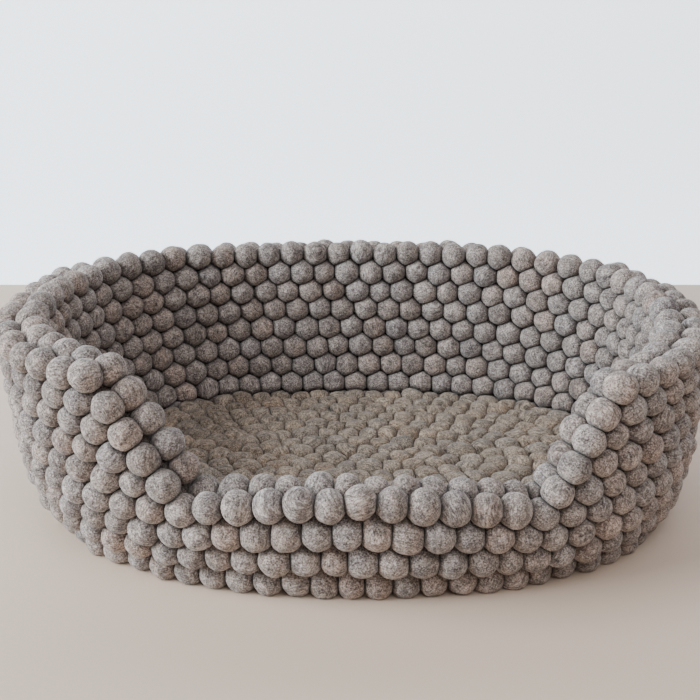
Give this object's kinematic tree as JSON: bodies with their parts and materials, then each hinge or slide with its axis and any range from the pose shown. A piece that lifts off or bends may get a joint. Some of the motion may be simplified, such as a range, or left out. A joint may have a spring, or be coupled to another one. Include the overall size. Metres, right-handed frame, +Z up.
{
  "type": "felt ball dog bed",
  "caption": "Oval dog bed of felted wool balls: a wall two balls thick with a low cut-out entrance at the front, around a mat of balls.",
  "frame": {"origin": "on the floor under the middle of the bed's outline", "axes": "+Z up, +X along the bed's length to the right when facing the entrance, and the low entrance faces -Y"},
  "size_m": [0.6902, 0.5342, 0.2113],
  "materials": {
    "wall_wool": "undyed grey-brown wool felt, heathered and slightly fuzzy",
    "mat_wool": "undyed brown wool felt, flatter and fuzzier than the wall"
  },
  "bodies": {
    "root": {"wall_outer": "wall_wool", "wall_inner": "wall_wool", "base_mat": "mat_wool"}
  },
  "joints": []
}
